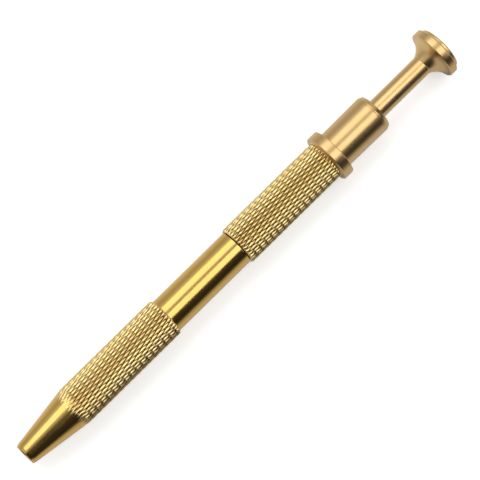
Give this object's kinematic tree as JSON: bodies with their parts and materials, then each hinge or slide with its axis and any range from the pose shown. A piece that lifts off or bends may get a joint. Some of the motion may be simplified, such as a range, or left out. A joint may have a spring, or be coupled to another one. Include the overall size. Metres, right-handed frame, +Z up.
{
  "type": "claw pick-up tool",
  "caption": "Pen-shaped brass pick-up tool with knurled grips, finger flange and a sprung push button that extends spreading wire claws from its nozzle.",
  "frame": {"origin": "below the middle of the tool's length, at the level of the lowest point of the push button's rim", "axes": "+X along the tool's axis from the nozzle to the push button, +Z up, tool lying on its side"},
  "size_m": [0.12, 0.0114, 0.0114],
  "materials": {
    "polished_brass": "polished, knurled grips",
    "satin_brass": "fine turned, satin",
    "steel": "turned steel",
    "spring_steel": "drawn bright wire"
  },
  "bodies": {
    "barrel": {"front_barrel": "polished_brass", "rear_barrel": "polished_brass", "rear_cap": "satin_brass", "spring_seat_washer": "steel", "return_spring": "spring_steel"},
    "spring_carrier": {"spring_follower": "steel"},
    "plunger": {"push_rod": "satin_brass", "push_button": "satin_brass", "rod_stop_ring": "spring_steel", "draw_rod": "steel", "rod_lock_nut": "steel", "claw_lock_nut": "steel", "claw_holder": "satin_brass", "claw_shank_1": "spring_steel", "claw_shank_2": "spring_steel", "claw_shank_3": "spring_steel", "claw_shank_4": "spring_steel"},
    "claw_1": {"claw_finger_1": "spring_steel"},
    "claw_2": {"claw_finger_2": "spring_steel"},
    "claw_3": {"claw_finger_3": "spring_steel"},
    "claw_4": {"claw_finger_4": "spring_steel"}
  },
  "joints": [
    {"name": "press_slide", "type": "slide", "parent": "barrel", "child": "spring_carrier", "axis": [-1, 0, 0], "range_m": [0, 0.012], "stiffness_N_per_m": 250, "springref_m": -0.006, "deforming": ["return_spring"]},
    {"name": "plunger_spin", "type": "hinge", "parent": "spring_carrier", "child": "plunger", "pos_m": [0.033, 0, 0.0057], "axis": [1, 0, 0], "continuous": true},
    {"name": "claw_spread_1", "type": "hinge", "parent": "plunger", "child": "claw_1", "pos_m": [-0.0466, 0.00106, 0.00676], "axis": [0, 0.7071, -0.7071], "range_deg": [0, 17.42]},
    {"name": "claw_spread_2", "type": "hinge", "parent": "plunger", "child": "claw_2", "pos_m": [-0.0466, -0.00106, 0.00676], "axis": [0, 0.7071, 0.7071], "range_deg": [0, 17.42]},
    {"name": "claw_spread_3", "type": "hinge", "parent": "plunger", "child": "claw_3", "pos_m": [-0.0466, -0.00106, 0.00464], "axis": [0, -0.7071, 0.7071], "range_deg": [0, 17.42]},
    {"name": "claw_spread_4", "type": "hinge", "parent": "plunger", "child": "claw_4", "pos_m": [-0.0466, 0.00106, 0.00464], "axis": [0, -0.7071, -0.7071], "range_deg": [0, 17.42]}
  ],
  "couplings": [
    {"joint": "claw_spread_1", "follows": "press_slide", "rad_per_m": 25.325},
    {"joint": "claw_spread_2", "follows": "press_slide", "rad_per_m": 25.325},
    {"joint": "claw_spread_3", "follows": "press_slide", "rad_per_m": 25.325},
    {"joint": "claw_spread_4", "follows": "press_slide", "rad_per_m": 25.325}
  ]
}
